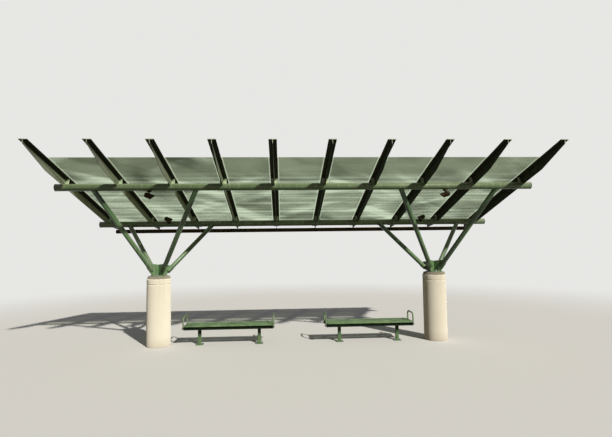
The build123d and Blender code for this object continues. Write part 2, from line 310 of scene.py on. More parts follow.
class Value:
    """A socket of a node tree that works in sums, products and powers."""

    def __init__(self, tree, socket):
        self.tree = tree
        self.socket = socket

    __add__ = working("ADD")
    __radd__ = working("ADD", turned=True)
    __sub__ = working("SUBTRACT")
    __rsub__ = working("SUBTRACT", turned=True)
    __mul__ = working("MULTIPLY")
    __rmul__ = working("MULTIPLY", turned=True)
    __truediv__ = working("DIVIDE")
    __pow__ = working("POWER")


class Tree:
    """Nodes and the links between them."""

    def __init__(self, tree):
        self.nodes = tree.nodes
        self.links = tree.links

    def add(self, kind, settings=None, inputs=None, output=0):
        """A node of this kind with its settings, then its sockets' values or links."""
        node = self.nodes.new(kind)
        for key, value in (settings or {}).items():
            if key == "stops":
                self.set_stops(node.color_ramp, value)
            else:
                setattr(node, key, value)
        for key, value in (inputs or {}).items():
            if isinstance(value, Value):
                self.links.new(value.socket, node.inputs[key])
            else:
                node.inputs[key].default_value = value
        return Value(self, node.outputs[output]) if node.outputs else None

    @staticmethod
    def set_stops(ramp, stops):
        """Places and grey levels of a ramp's stops."""
        while len(ramp.elements) < len(stops):
            ramp.elements.new(1.0)
        for element, (place, level) in zip(ramp.elements, stops):
            element.position = place
            element.color = (level, level, level, 1)

    def maths(self, operation, first, second=0.0):
        return self.add("ShaderNodeMath", {"operation": operation}, {0: first, 1: second})


class Shader(Tree):
    """The nodes of a material or a world."""

    def __init__(self, owner):
        self.owner = owner
        owner.use_nodes = True
        super().__init__(owner.node_tree)
        self.nodes.clear()

    def position(self, scale=(1, 1, 1)):
        """Object coordinates, squeezed along each axis by this scale."""
        place = self.add("ShaderNodeTexCoord", output="Object")
        return self.add("ShaderNodeMapping", {"vector_type": "POINT"}, {"Vector": place, "Scale": scale})

    def slanted(self, scale, degrees, stretch, detail):
        """Soft noise from 0 to 1, drawn out along a line turned this far from the X axis."""
        place = self.add("ShaderNodeTexCoord", output="Object")
        turned = self.add(
            "ShaderNodeMapping", {"vector_type": "TEXTURE"},
            {"Vector": place, "Rotation": (0, 0, radians(degrees)), "Scale": (stretch, 1, 1)},
        )
        return self.add("ShaderNodeTexNoise", inputs={"Vector": turned, "Scale": scale, "Detail": detail})

    def axes(self, vector):
        """The three parts of a vector."""
        split = self.add("ShaderNodeSeparateXYZ", inputs={"Vector": vector}).socket.node
        return [Value(self, socket) for socket in split.outputs]

    def facing(self):
        """The three parts of the surface's direction."""
        return self.axes(self.add("ShaderNodeNewGeometry", output="Normal"))

    def cloud(self, scale, stretch=(1, 1, 1), detail=4.0, roughness=0.55):
        """Soft noise from 0 to 1."""
        inputs = {"Vector": self.position(stretch), "Scale": scale, "Detail": detail, "Roughness": roughness}
        return self.add("ShaderNodeTexNoise", inputs=inputs)

    def cells(self, scale):
        """Distance to the nearest of many scattered points."""
        inputs = {"Vector": self.position(), "Scale": scale}
        return self.add("ShaderNodeTexVoronoi", inputs=inputs, output="Distance")

    def ramp(self, value, *stops):
        """Maps a value through grey stops."""
        return self.add("ShaderNodeValToRGB", {"stops": stops}, {"Fac": value})

    def rise(self, value, low, high):
        """Goes from 0 to 1 as the value goes from low to high."""
        return self.ramp(value, (low, 0), (high, 1))

    def patches(self, scale, low, high, stretch=(1, 1, 1), detail=4.0):
        """Soft noise drawn up into patches of 1 with 0 between them."""
        return self.rise(self.cloud(scale, stretch, detail), low, high)

    def specks(self, scale, core, edge):
        """Scattered round specks of 1 on 0."""
        return self.ramp(self.cells(scale), (core, 1), (edge, 0))

    def mix(self, amount, first, second):
        """First colour where the amount is 0, second where it is 1."""
        first, second = [(*c, 1) if isinstance(c, tuple) else c for c in (first, second)]
        settings = {"data_type": "RGBA", "clamp_factor": True}
        return self.add("ShaderNodeMix", settings, {0: amount, 6: first, 7: second}, output=2)

    def blend(self, amount, first, second):
        """First shader where the amount is 0, second where it is 1."""
        return self.add("ShaderNodeMixShader", inputs={0: amount, 1: first, 2: second})

    def plain(self, kind, tone, **inputs):
        """A shader of this kind in one colour."""
        return self.add(kind, inputs={"Color": (*tone, 1), **inputs})

    def clear(self, tint):
        """Clear glass that colours what is seen through it."""
        return self.plain("ShaderNodeBsdfTransparent", palette(tint))

    def ray(self, kind):
        """1 for one kind of ray, and 0 for the others."""
        return self.add("ShaderNodeLightPath", output=f"Is {kind} Ray")

    def bump(self, height, strength, distance, under=None):
        """A bump from a height, over another bump where one is given."""
        inputs = {"Height": height, "Strength": strength, "Distance": distance}
        if under is not None:
            inputs["Normal"] = under
        return self.add("ShaderNodeBump", inputs=inputs)

    def principled(self, **sockets):
        """A Principled shader. Socket names are written with underscores."""
        inputs = {}
        for key, value in sockets.items():
            inputs[key.replace("_", " ")] = (*value, 1) if isinstance(value, tuple) else value
        return self.add("ShaderNodeBsdfPrincipled", inputs=inputs)

    def finish(self, surface=None, **sockets):
        """Shows this shader, or a Principled one with these sockets."""
        kind = "World" if isinstance(self.owner, bpy.types.World) else "Material"
        self.add(f"ShaderNodeOutput{kind}", inputs={"Surface": surface or self.principled(**sockets)})
        return self.owner


def palette(name, share=1.0):
    """One colour of the settings, or a share of its brightness."""
    return tuple(share * part for part in getattr(bpy.context.scene.shelter_colours, name))


def made_once(make):
    """Makes a material the first time it is asked for, and then hands out the same one."""
    return cache(lambda: make(Shader(bpy.data.materials.new(make.__name__))))


# Direction of the key light. Painted steel is painted paler on faces turned towards it: painted sunlight.
SUNNY_SIDE = Vector((0.42, -0.66, 0.62))


def chipped_paint(shader, paint, roughness, gloss, chip_scale, chip_level, rusty, roughening, peel):
    """Finishes a coat of paint with small rusty chips and orange peel."""
    chips = shader.patches(chip_scale, chip_level, chip_level + 0.012, detail=2)
    orange_peel = shader.bump(shader.cloud(peel, detail=1), 0.10, 0.0006)
    return shader.finish(
        Base_Color=shader.mix(chips * rusty, paint, palette("rust")),
        Roughness=roughness + chips * roughening,
        Specular_IOR_Level=gloss,
        Normal=shader.bump(1 - chips, 0.35, 0.0004, orange_peel),
    )


def painted_steel(shader, shade_tone, faded, sheen, gloss, dust_cover=0.5, chalk_highlight=0.0, shelter=None):
    """Weathered paint with painted light: paler on faces turned to the key light, partly sun fading and partly painted
    sunlight, a painted highlight of chalk on its sunniest side, streaked, dusty on top, chipped.
    """
    x, y, z = shader.facing()
    # Painted sunlight: 1 on faces turned to the key light, partly standing for sun fading.
    painted_sunlight = shader.rise(x * SUNNY_SIDE.x + y * SUNNY_SIDE.y + z * SUNNY_SIDE.z, 0.02, 0.42)
    # A painted shadow, where one is given, takes the painted sunlight away again.
    if shelter is not None:
        painted_sunlight = painted_sunlight * shelter(shader)
    fading = shader.patches(1.7, 0.36, 0.66, detail=5)
    blotches = shader.cloud(9, detail=3)
    paint = shader.mix(painted_sunlight * (0.52 + fading * 0.38 + blotches * 0.40) + blotches * 0.08, shade_tone, faded)
    # Painted highlight: pale chalk on faces turned along +X, towards the key light.
    chalk_highlight_mask = shader.rise(x, 0.80, 0.96) * painted_sunlight * chalk_highlight
    paint = shader.mix(chalk_highlight_mask * (0.7 + blotches * 0.6), paint, palette("dust"))
    # Dust streaks, kept mostly to the faces with painted sunlight.
    streaks = shader.patches(26, 0.52, 0.74, (1, 1, 0.07), detail=3)
    paint = shader.mix(streaks * (0.02 + painted_sunlight * 0.58) * dust_cover, paint, palette("dust"))
    # Dust on top faces, made pale enough to stand partly for light on top: painted highlight.
    top_dust_and_light = shader.rise(z, 0.36, 0.90) * shader.ramp(shader.cloud(5, detail=6), (0.30, 0.45), (0.70, 1))
    paint = shader.mix(top_dust_and_light * dust_cover, paint, palette("dust"))
    roughness = sheen + blotches * 0.12 + top_dust_and_light * 0.25
    return chipped_paint(
        shader, paint, roughness, gloss, chip_scale=70, chip_level=0.735, rusty=0.85, roughening=0.35, peel=420
    )


def depth_under_roof(shader):
    """Distance below the top of the rafters."""
    x, y, z = shader.axes(shader.position())
    return TIP.dot(ROOF_NORMAL) - (y * ROOF_NORMAL.y + z * ROOF_NORMAL.z)


def below_roof(shader):
    """Painted shadow of the roof: near 0 at the head of a strut, which is painted in shade, and 1 lower down."""
    return shader.ramp(depth_under_roof(shader), (0.34, 0.10), (0.80, 1))


def below_flange(shader):
    """Painted shadow of a rafter's flange: 0 high on the stem, which is painted in the flange's shade, and 1 lower down
    its stem, on its top and on its end.
    """
    stem = shader.ramp(depth_under_roof(shader) * 4, (0.15, 0), (0.26, 0.45), (0.42, 0.75), (0.62, 1))
    x, y, z = shader.facing()
    top = shader.rise(z, 0.3, 0.6)
    end = shader.rise(0 - y, 0.80, 0.92)
    return shader.maths("MAXIMUM", stem, shader.maths("MAXIMUM", top, end))


@made_once
def frame_paint(shader):
    return painted_steel(
        shader, palette("frame_green"), palette("frame_faded"), sheen=0.29, gloss=0.24,
        dust_cover=0.95, chalk_highlight=0.8,
    )


@made_once
def strut_paint(shader):
    return painted_steel(
        shader, palette("strut_green"), palette("strut_faded"), sheen=0.22, gloss=0.4,
        dust_cover=0.85, chalk_highlight=0.6, shelter=below_roof,
    )


@made_once
def rafter_paint(shader):
    return painted_steel(
        shader, palette("rafter_green"), palette("rafter_faded"), sheen=0.62, gloss=0.05,
        chalk_highlight=0.25, shelter=below_flange,
    )


@made_once
def bronze_finish(shader):
    return painted_steel(
        shader, palette("bronze"), palette("bronze", 2.0), sheen=0.5, gloss=0.06, dust_cover=0.12
    )


def painted_bench(shader, side_tone, patches=0.5):
    """Bench paint: rubbed lengthwise on top, this tone on its sides, painted shade underneath, and the seat's painted
    shadow on what lies below it.
    """
    rubbing = shader.patches(22, 0.38, 0.62, (0.10, 1, 1))
    shading = shader.patches(3.1, 0.40, 0.62, (1, 1.6, 1))
    blotches = shader.cloud(7)
    upright = shader.facing()[2]
    up = shader.rise(upright, 0.45, 0.85)
    under = shader.rise(0 - upright, 0.45, 0.85)
    top = shader.mix(shading * 0.70 + rubbing * 0.25, palette("bench_green"), palette("bench_worn"))
    side = shader.mix(shader.rise(blotches, 0.42, 0.62) * patches, side_tone, palette("bench_green"))
    # Faces turned down are painted in shade.
    paint = shader.mix(under, shader.mix(up, side, top), palette("bench_dark"))
    # Painted shadow of the seat between 0.13 m and 0.37 m up.
    seat_shadow = shader.ramp(shader.axes(shader.position())[2], (0.13, 0), (0.20, 1), (0.362, 1), (0.37, 0))
    paint = shader.mix(seat_shadow * 0.75, paint, palette("bench_dark"))
    dust = shader.patches(14, 0.50, 0.80, detail=6) * up
    paint = shader.mix(dust * 0.28, paint, palette("dust"))
    # Dark patches on the top faces.
    dark_patches = shader.patches(4.2, 0.55, 0.66, (1, 2.2, 1), detail=5) * up
    paint = shader.mix(dark_patches * 0.7, paint, palette("bench_dark"))
    roughness = 0.46 + blotches * 0.16 + dust * 0.25
    return chipped_paint(
        shader, paint, roughness, gloss=0.12, chip_scale=95, chip_level=0.73, rusty=0.8, roughening=0.3, peel=380
    )


@made_once
def bench_paint(shader):
    """Paint of the posts, half worn."""
    half_worn = (Vector(palette("bench_green")) + Vector(palette("bench_worn"))) / 2
    return painted_bench(shader, tuple(half_worn))


@made_once
def hoop_paint(shader):
    """Paint of the armrests, rubbed pale by hands."""
    return painted_bench(shader, palette("hoop_worn"), patches=0.15)


@made_once
def seat_paint(shader):
    """Paint of the seats, worn on the rims too."""
    return painted_bench(shader, palette("bench_worn"))


@made_once
def rail_paint(shader):
    """Paint of the rails under the seats, with their sides painted in the seats' shade."""
    return painted_bench(shader, palette("bench_dark"), patches=0.25)


@made_once
def column_finish(shader):
    """Cream masonry paint on the shaft, with painted shade in its groove and chipped hollows, and bare mortar on the
    sloping head.
    """
    stain = palette("column_stain")
    x, y, z = shader.axes(shader.position())
    stipple = shader.cloud(150, detail=3)
    paint = shader.mix(shader.patches(2.4, 0.35, 0.75, detail=5) * 0.07, palette("column_paint"), stain)
    runs = shader.patches(17, 0.50, 0.78, (1, 1, 0.06))
    paint = shader.mix(runs * shader.rise(z / COLUMN_TOP, 0.45, 0.90) * 0.12, paint, stain)
    splash = shader.ramp(z + shader.cloud(11, detail=5) * 0.12, (0.07, 1), (0.24, 0))
    paint = shader.mix(splash * 0.26, paint, stain)
    pits = shader.specks(24, 0.045, 0.065)
    paint = shader.mix(pits * 0.55, paint, stain)
    radius = (x * x + (y - COLUMN_Y) * (y - COLUMN_Y)) ** 0.5
    head_start = COLUMN_TOP - 0.052
    head = shader.rise((z - head_start) * 40 + shader.cloud(30, detail=3), 0.45, 0.60)
    # Painted shade in the groove and in chipped hollows, left off the head.
    groove_shade = shader.rise((COLUMN_RADIUS - radius) * 90, 0.15, 0.55) * (1 - head)
    paint = shader.mix(groove_shade * 0.75, paint, palette("column_stain", 0.5))
    sand = shader.cloud(260)
    mortar = shader.mix(sand * 0.8, palette("mortar"), palette("mortar", 0.55))
    pitted = shader.bump(1 - pits, 0.5, 0.0015, shader.bump(stipple, 0.22, 0.0015))
    return shader.finish(
        Base_Color=shader.mix(head, paint, mortar),
        Roughness=0.62 + stipple * 0.12 + head * 0.22,
        Diffuse_Roughness=0.8,
        Specular_IOR_Level=0.3,
        Normal=shader.bump(sand * head, 0.6, 0.002, pitted),
    )


def beside_rafter(shader):
    """Distance from the nearest rafter's middle."""
    x, y, z = shader.axes(shader.position())
    return shader.maths("PINGPONG", x - RAFTER_X[0], BAY / 2)


@made_once
def glass_top(shader):
    """Upper face of the panes: a film of dirt, thick and dark in front, thin and streaky to the rear."""
    x, y, z = shader.axes(shader.position())
    rear_part = shader.rise((y - GLASS_FRONT) / (GLASS_REAR - GLASS_FRONT), 0.15, 0.27)
    clouds = shader.patches(0.8, 0.34, 0.66, (1, 0.8, 1), detail=2)
    smudges = shader.rise(shader.slanted(1.5, 28, 1.8, detail=2), 0.46, 0.72)
    bands = shader.patches(10, 0.42, 0.60, (0.035, 1, 1))
    # Thin pale streaks where the dirt is thinner: partly wiped dirt, partly painted reflections of the lit ground.
    wipes_and_reflections = shader.rise(shader.slanted(2.2, 38, 5, detail=1.5), 0.55, 0.70)
    smears_and_reflections = shader.rise(shader.slanted(1.9, -34, 7, detail=1.5), 0.56, 0.70)
    specks = shader.specks(34, 0.04, 0.09)
    spots = shader.specks(2.7, 0.022, 0.040)
    edge = (beside_rafter(shader) - FLANGE_WIDTH / 2) / bpy.context.scene.shelter_roof.clean_band
    band = shader.ramp(edge, (0.75, 1), (1.0, 0))
    dull = 0.70 - rear_part * 0.24 + clouds * 0.12 + smudges * 0.24
    bright = bands * (0.08 + rear_part * 0.27) + (wipes_and_reflections + smears_and_reflections) * 0.36
    cover = (dull - bright) * (1 - band * 0.75) + specks * 0.10 + spots * 0.5
    tone = shader.mix(clouds * 0.30 + smudges * 0.55 + (1 - rear_part) * 0.25, palette("haze"), palette("grime"))
    tone = shader.mix(specks * 0.5, tone, palette("grime"))
    tone = shader.mix(spots, tone, palette("dust"))
    dirt = shader.principled(Base_Color=tone, Roughness=0.55 + smudges * 0.25)
    lit_dirt = shader.add("ShaderNodeBsdfTranslucent", inputs={"Color": tone})
    film = shader.blend(0.65, dirt, lit_dirt)
    shown = shader.blend(cover, shader.clear("glass_tint"), film)
    let_on = shader.blend(rear_part, shader.clear("sun_past_front"), shader.clear("sun_past_rear"))
    return shader.finish(shader.blend(shader.ray("Shadow"), shown, let_on))


@made_once
def glass_under(shader):
    """Lower face of the panes: clear, with a plain reflection."""
    ripple = shader.bump(shader.cloud(3.0, detail=1), 0.05, 0.02)
    mirror = shader.principled(Base_Color=(0.02, 0.03, 0.02), Roughness=0.04, Normal=ripple)
    gloss = shader.add("ShaderNodeFresnel", inputs={"IOR": 1.45})
    shown = shader.blend(gloss, shader.clear("glass_tint"), mirror)
    return shader.finish(shader.blend(shader.ray("Shadow"), shown, shader.add("ShaderNodeBsdfTransparent")))


@made_once
def glass_edge(shader):
    worn = shader.cloud(40, (1, 0.3, 0.3), detail=3)
    tone = shader.mix(worn * 0.6, palette("glass_edge"), palette("glass_edge", 0.6))
    return shader.finish(Base_Color=tone, Roughness=0.18 + worn * 0.2)


@made_once
def sealant_finish(shader):
    grime = shader.patches(12, 0.35, 0.75, detail=5)
    tone = shader.mix(grime * 0.5, palette("sealant"), palette("grime"))
    tooled = shader.bump(shader.cloud(90, (1, 0.1, 0.1), detail=2), 0.2, 0.001)
    return shader.finish(Base_Color=tone, Roughness=0.45 + grime * 0.3, Normal=tooled)


@made_once
def zinc_finish(shader):
    bloom = shader.patches(160, 0.35, 0.65, detail=3)
    stain = shader.patches(45, 0.60, 0.72, detail=3)
    tone = shader.mix(bloom * 0.5, palette("zinc"), palette("zinc", 0.62))
    tone = shader.mix(stain * 0.5, tone, palette("rust"))
    return shader.finish(Base_Color=tone, Metallic=1 - stain * 0.7, Roughness=0.34 + bloom * 0.2)


@made_once
def lens_finish(shader):
    """Dusty prismatic glass in front of a bright reflector."""
    ribs = shader.add(
        "ShaderNodeTexWave", {"wave_type": "BANDS", "bands_direction": "X"},
        {"Vector": shader.position(), "Scale": 60, "Distortion": 0.3},
    )
    dust = shader.cloud(40)
    tone = shader.mix(dust * 0.5, palette("lens"), palette("dust"))
    return shader.finish(
        Base_Color=tone, Metallic=0.75, Roughness=0.12 + dust * 0.2, Normal=shader.bump(ribs, 0.4, 0.001)
    )


# Meshes

MERGE_DISTANCE = 2e-5
FLAT_ANGLE = radians(0.6)
ROUND_ANGLE = radians(30)


def link(name, mesh):
    """A new object for a mesh, at the origin."""
    piece = bpy.data.objects.new(name, mesh)
    bpy.context.scene.collection.objects.link(piece)
    return piece


def stand_in(node, ending, mesh):
    """A new object that stands for a CAD piece."""
    piece = link(f"{node}_{ending}", mesh)
    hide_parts(node)
    return piece


def settle(piece):
    """Turns a piece and its modifiers into a plain mesh."""
    bpy.context.view_layer.update()
    evaluated = piece.evaluated_get(bpy.context.evaluated_depsgraph_get())
    mesh = bpy.data.meshes.new_from_object(evaluated)
    piece.modifiers.clear()
    piece.data = mesh


def dress(piece, slot, *materials):
    """Gives a piece its materials and the body that it rides on."""
    piece.data.materials.clear()
    for material in materials:
        piece.data.materials.append(material)
    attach(piece, BODY)
    return piece


def smooth(mesh, angle_limit=ROUND_ANGLE):
    """Smooth shading up to this angle between faces."""
    mesh.shade_smooth()
    mesh.set_sharp_from_angle(angle=angle_limit)
    return mesh


def as_mesh(name, shape, outward=True):
    """A mesh from a finished shape, with its faces turned outward unless they already are."""
    if outward:
        bmesh.ops.recalc_face_normals(shape, faces=shape.faces)
    mesh = bpy.data.meshes.new(name)
    shape.to_mesh(mesh)
    shape.free()
    return mesh


def merged_solid(node):
    """A CAD piece's surface with its doubled points merged and its flat faces joined."""
    shape = bmesh.new()
    shape.from_mesh(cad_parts[node].data)
    bmesh.ops.remove_doubles(shape, verts=shape.verts, dist=MERGE_DISTANCE)
    bmesh.ops.dissolve_limit(
        shape, angle_limit=FLAT_ANGLE, verts=shape.verts, edges=shape.edges, delimit={"NORMAL"}
    )
    return shape


def break_edges(shape, width):
    """A narrow bevel on the sharp edges of a shape."""
    sharp = [edge for edge in shape.edges if edge.calc_face_angle(0) > ROUND_ANGLE]
    bmesh.ops.bevel(shape, geom=sharp, offset=width, segments=1, affect="EDGES")


def softened(node, slot, material):
    """A copy of a CAD piece with rounded edges and this finish, which stands for the piece."""
    mesh = as_mesh(f"{node}_finished", merged_solid(node), outward=False)
    mesh.shade_smooth()
    piece = link(mesh.name, mesh)
    bevel = piece.modifiers.new("rounded edges", "BEVEL")
    bevel.width = bpy.context.scene.shelter_steel.edge_round
    bevel.segments = 2
    bevel.limit_method = "ANGLE"
    bevel.angle_limit = ROUND_ANGLE
    bevel.use_clamp_overlap = True
    bevel.harden_normals = True
    settle(piece)
    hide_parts(node)
    dress(piece, slot, material)


def skin(shape, rings):
    """Faces between each ring of points and the next."""
    for low, high in zip(rings, rings[1:]):
        for i in range(len(low)):
            j = (i + 1) % len(low)
            corners = list(dict.fromkeys((low[i], low[j], high[j], high[i])))
            if len(corners) > 2:
                shape.faces.new(corners)


def solid(shape, rings):
    """A closed block through rings of points."""
    rings = [[shape.verts.new(point) for point in ring] for ring in rings]
    skin(shape, rings)
    shape.faces.new(rings[0])
    shape.faces.new(rings[-1][::-1])


def lathe(name, profile, place, axis, steps):
    """A closed round solid from (radius, height) points that start and end on the axis."""
    side = axis.orthogonal().normalized()
    front = axis.cross(side)
    shape = bmesh.new()
    rings = []
    for radius, height in profile:
        centre = place + axis * height
        if radius == 0:
            rings.append([shape.verts.new(centre)] * steps)
        else:
            rings.append([shape.verts.new(centre + (side * c + front * s) * radius) for c, s in turns(steps)])
    skin(shape, rings)
    return as_mesh(name, shape)


def joined(name, meshes):
    """One smooth mesh from several."""
    shape = bmesh.new()
    for mesh in meshes:
        shape.from_mesh(mesh)
    return smooth(as_mesh(name, shape, outward=False))


class Growth(Tree):
    """A Geometry Nodes tree with named inputs, which ends in real geometry in one material."""

    def __init__(self, name, lengths, counts=()):
        self.group = bpy.data.node_groups.new(name, "GeometryNodeTree")
        super().__init__(self.group)
        kinds = {"Geometry": "Geometry", **dict.fromkeys(lengths, "Float"), **dict.fromkeys(counts, "Int")}
        for label, kind in {**kinds, "Material": "Material"}.items():
            self.group.interface.new_socket(label, in_out="INPUT", socket_type=f"NodeSocket{kind}")
        self.group.interface.new_socket("Geometry", in_out="OUTPUT", socket_type="NodeSocketGeometry")
        given = self.nodes.new("NodeGroupInput").outputs
        self.given = {socket.name: Value(self, socket) for socket in given if socket.name}

    def finish(self, shape):
        """Makes copies real and paints them."""
        real = self.add("GeometryNodeRealizeInstances", inputs={"Geometry": shape})
        painted = self.add(
            "GeometryNodeSetMaterial", inputs={"Geometry": real, "Material": self.given["Material"]}
        )
        self.add("NodeGroupOutput", inputs={"Geometry": painted})
        return self.group


def grown(name, mesh, tree, slot, angle_limit=ROUND_ANGLE, **sizes):
    """A piece that Geometry Nodes grow on a mesh of points or lines."""
    piece = link(name, mesh)
    modifier = piece.modifiers.new("growth", "NODES")
    modifier.node_group = tree
    for item in tree.interface.items_tree:
        key = item.name.lower().replace(" ", "_")
        if item.in_out == "INPUT" and key in sizes:
            modifier[item.identifier] = sizes[key]
    settle(piece)
    smooth(piece.data, angle_limit)
    return dress(piece, slot, sizes["material"])


@cache
def bead_tree():
    """Sweeps a round bead along loose edges, with ripples."""
    tree = Growth("bead along lines", ("Radius", "Ripple Length", "Ripple Depth", "Step"), ("Sides",))
    given = tree.given
    curve = tree.add("GeometryNodeMeshToCurve", inputs={"Mesh": given["Geometry"]})
    evened = tree.add("GeometryNodeResampleCurve", {"mode": "LENGTH"}, {"Curve": curve, "Length": given["Step"]})
    along = tree.add("GeometryNodeSplineParameter", output="Length")
    wave = tree.maths("SINE", along * (2 * pi) / given["Ripple Length"])
    size = given["Radius"] * (wave * given["Ripple Depth"] + 1.0)
    sized = tree.add("GeometryNodeSetCurveRadius", inputs={"Curve": evened, "Radius": size})
    ring = tree.add("GeometryNodeCurvePrimitiveCircle", inputs={"Resolution": given["Sides"], "Radius": 1.0})
    return tree.finish(tree.add(
        "GeometryNodeCurveToMesh",
        inputs={"Curve": sized, "Profile Curve": ring, "Scale": size, "Fill Caps": True},
    ))


def beads(name, paths, material, slot, radius, sides=8, step=0.003, ripple_length=0.01, ripple_depth=0.0):
    """Round beads along paths: welds, sealant or bars."""
    points = []
    edges = []
    for path in paths:
        edges += [(i, i + 1) for i in range(len(points), len(points) + len(path) - 1)]
        points += [tuple(point) for point in path]
    mesh = bpy.data.meshes.new(name)
    mesh.from_pydata(points, edges, [])
    return grown(
        name, mesh, bead_tree(), slot, radians(60), radius=radius, sides=sides, step=step,
        ripple_length=ripple_length, ripple_depth=ripple_depth, material=material,
    )


def welds(name, paths, material, slot, radius):
    """Rippled weld beads along paths."""
    ripple = bpy.context.scene.shelter_steel.ripple
    beads(name, paths, material, slot, radius, step=ripple / 3, ripple_length=ripple, ripple_depth=0.13)


@cache
def bolt_tree():
    """Sets a washer, a nut and a stud on each point, along its axis attribute."""
    tree = Growth(
        "bolts on points",
        ("Across Corners", "Nut Height", "Stud Radius", "Stud Height", "Washer Radius", "Washer Height"),
    )
    given = tree.given
    blocks = []

    def block(sides, radius, height, base, narrowing=1.0):
        """A closed round or hexagonal block standing on a level. Gives the level of its top."""
        cone = tree.add("GeometryNodeMeshCone", inputs={
            "Vertices": sides, "Radius Top": radius * narrowing, "Radius Bottom": radius, "Depth": height,
        })
        lift = tree.add("ShaderNodeCombineXYZ", inputs={"Z": base})
        blocks.append(tree.add("GeometryNodeTransform", inputs={"Geometry": cone, "Translation": lift}))
        return height + base

    washer_top = block(28, given["Washer Radius"], given["Washer Height"], 0.0)
    nut_radius = given["Across Corners"] / 2.0
    crown_base = block(6, nut_radius, given["Nut Height"] * 0.84, washer_top)
    nut_top = block(6, nut_radius, given["Nut Height"] * 0.16, crown_base, narrowing=0.86)
    tip_base = block(18, given["Stud Radius"], given["Stud Height"] * 0.8, nut_top)
    block(18, given["Stud Radius"], given["Stud Height"] * 0.2, tip_base, narrowing=0.78)
    together = tree.nodes.new("GeometryNodeJoinGeometry")
    for part in reversed(blocks):
        tree.links.new(part.socket, together.inputs[0])
    direction = tree.add("GeometryNodeInputNamedAttribute", {"data_type": "FLOAT_VECTOR"}, {"Name": "axis"})
    turn = tree.add("FunctionNodeAlignRotationToVector", {"axis": "Z"}, {"Vector": direction})
    return tree.finish(tree.add("GeometryNodeInstanceOnPoints", inputs={
        "Points": given["Geometry"], "Instance": Value(tree, together.outputs[0]), "Rotation": turn,
    }))


def bolts(name, places, slot, flats, stud=0.35):
    """Nuts on studs at (point, axis) places, all in proportion to the width across the flats."""
    mesh = bpy.data.meshes.new(name)
    mesh.from_pydata([tuple(point) for point, axis in places], [], [])
    axes = mesh.attributes.new("axis", "FLOAT_VECTOR", "POINT")
    axes.data.foreach_set("vector", [part for point, axis in places for part in axis])
    grown(
        name, mesh, bolt_tree(), slot, across_corners=flats * 2 / sqrt(3), nut_height=flats * 0.52,
        stud_radius=flats * 0.32, stud_height=flats * stud, washer_radius=flats * 0.62,
        washer_height=flats * 0.1, material=zinc_finish(),
    )


# Pieces of the shelter

class SHELTER_OT_columns(bpy.types.Operator):
    """Round concrete columns with a vee groove, worn edges and a trowelled head"""

    bl_idname = "shelter.columns"
    bl_label = "Columns"

    SEGMENTS = 144
    ROW = 0.022
    GROOVE_TOP = 1.193
    GROOVE_HEIGHT = 0.014
    GROOVE_DEPTH = 0.008
    GROOVE_LIP = 0.0008
    RIM_ROW = 0.0145
    RIM = 1.290
    HEAD_RADIUS = 0.205
    HEAD_ROWS = 8
    EDGE = 0.006
    UNEVENNESS = 0.0009
    CHIP_DEPTH = 0.018
    CHIP_REACH = 0.012
    TROWEL_MARKS = 0.003

    def profile(self):
        """Radius and height from the foot to the top of the head."""
        radius, edge = COLUMN_RADIUS, self.EDGE
        foot = [(0, 0), (radius - edge, 0), (radius - 0.3 * edge, 0.3 * edge), (radius, edge)]
        groove_foot = self.GROOVE_TOP - self.GROOVE_HEIGHT
        rows = ceil((groove_foot - 2 * edge) / self.ROW)
        shaft = [(radius, edge + (groove_foot - 2 * edge) * i / rows) for i in range(1, rows + 1)]
        groove = [
            (radius - self.GROOVE_LIP, groove_foot - 0.001),
            (radius - self.GROOVE_DEPTH, groove_foot + self.GROOVE_HEIGHT * 0.42),
            (radius - self.GROOVE_DEPTH, groove_foot + self.GROOVE_HEIGHT * 0.58),
            (radius - self.GROOVE_LIP, self.GROOVE_TOP + 0.001),
        ]
        rim = [(radius, self.GROOVE_TOP + 0.004 + self.RIM_ROW * i) for i in range(6)]
        rim += [(radius, self.RIM - edge), (radius - 0.3 * edge, self.RIM - 0.3 * edge)]
        narrowing = radius - edge - self.HEAD_RADIUS
        slope = [i / self.HEAD_ROWS for i in range(1, self.HEAD_ROWS + 1)]
        head = [(radius - edge - narrowing * s, self.RIM + (COLUMN_TOP - self.RIM) * s) for s in slope]
        return foot + shaft + groove + rim + head + [(0, COLUMN_TOP)]

    def wear(self, mesh, centre):
        """Presses the surface in by a few millimetres: slightly uneven, with chipped edges."""
        edges = (0.0, self.GROOVE_TOP - self.GROOVE_HEIGHT, self.GROOVE_TOP, self.RIM)
        for vert in mesh.vertices:
            out = Vector((vert.co.x - centre.x, vert.co.y - centre.y, 0))
            if out.length < self.HEAD_RADIUS * 0.98:
                continue
            uneven = self.UNEVENNESS * (1 + noise.noise(vert.co * 5.0)) / 2
            chip = max(0.0, noise.noise(vert.co * 21.0) - 0.32) * self.CHIP_DEPTH
            near = max(0.0, 1 - min(abs(vert.co.z - edge) for edge in edges) / self.CHIP_REACH)
            vert.co -= out.normalized() * (uneven + chip * near)
            if self.RIM + 0.002 < vert.co.z < COLUMN_TOP - 0.001:
                vert.co.z -= self.TROWEL_MARKS * (1 + noise.noise(vert.co * 26.0)) / 2

    def execute(self, context):
        for side in HANDS:
            node = f"column_{side}"
            centre = middle(node)
            centre.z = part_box(node)[0].z
            mesh = lathe(f"{node}_shaft", self.profile(), centre, UP, self.SEGMENTS)
            self.wear(mesh, centre)
            piece = stand_in(node, "shaft", smooth(mesh, radians(28)))
            dress(piece, "column_concrete", column_finish())
        return {"FINISHED"}


class SHELTER_OT_frame(bpy.types.Operator):
    """Hubs, struts, purlins and rafters in weathered green paint with painted sunlight and shade, with rounded edges"""

    bl_idname = "shelter.frame"
    bl_label = "Steel frame"

    def execute(self, context):
        hubs = [f"hub_{side}" for side in HANDS]
        purlins = [f"{place}_purlin" for place in PLACES]
        for nodes, paint in ((hubs + STRUTS, strut_paint), (purlins, frame_paint), (RAFTERS, rafter_paint)):
            for node in nodes:
                softened(node, "green_paint", paint())
        softened("rear_edge_tube", "bronze_paint", bronze_finish())
        return {"FINISHED"}


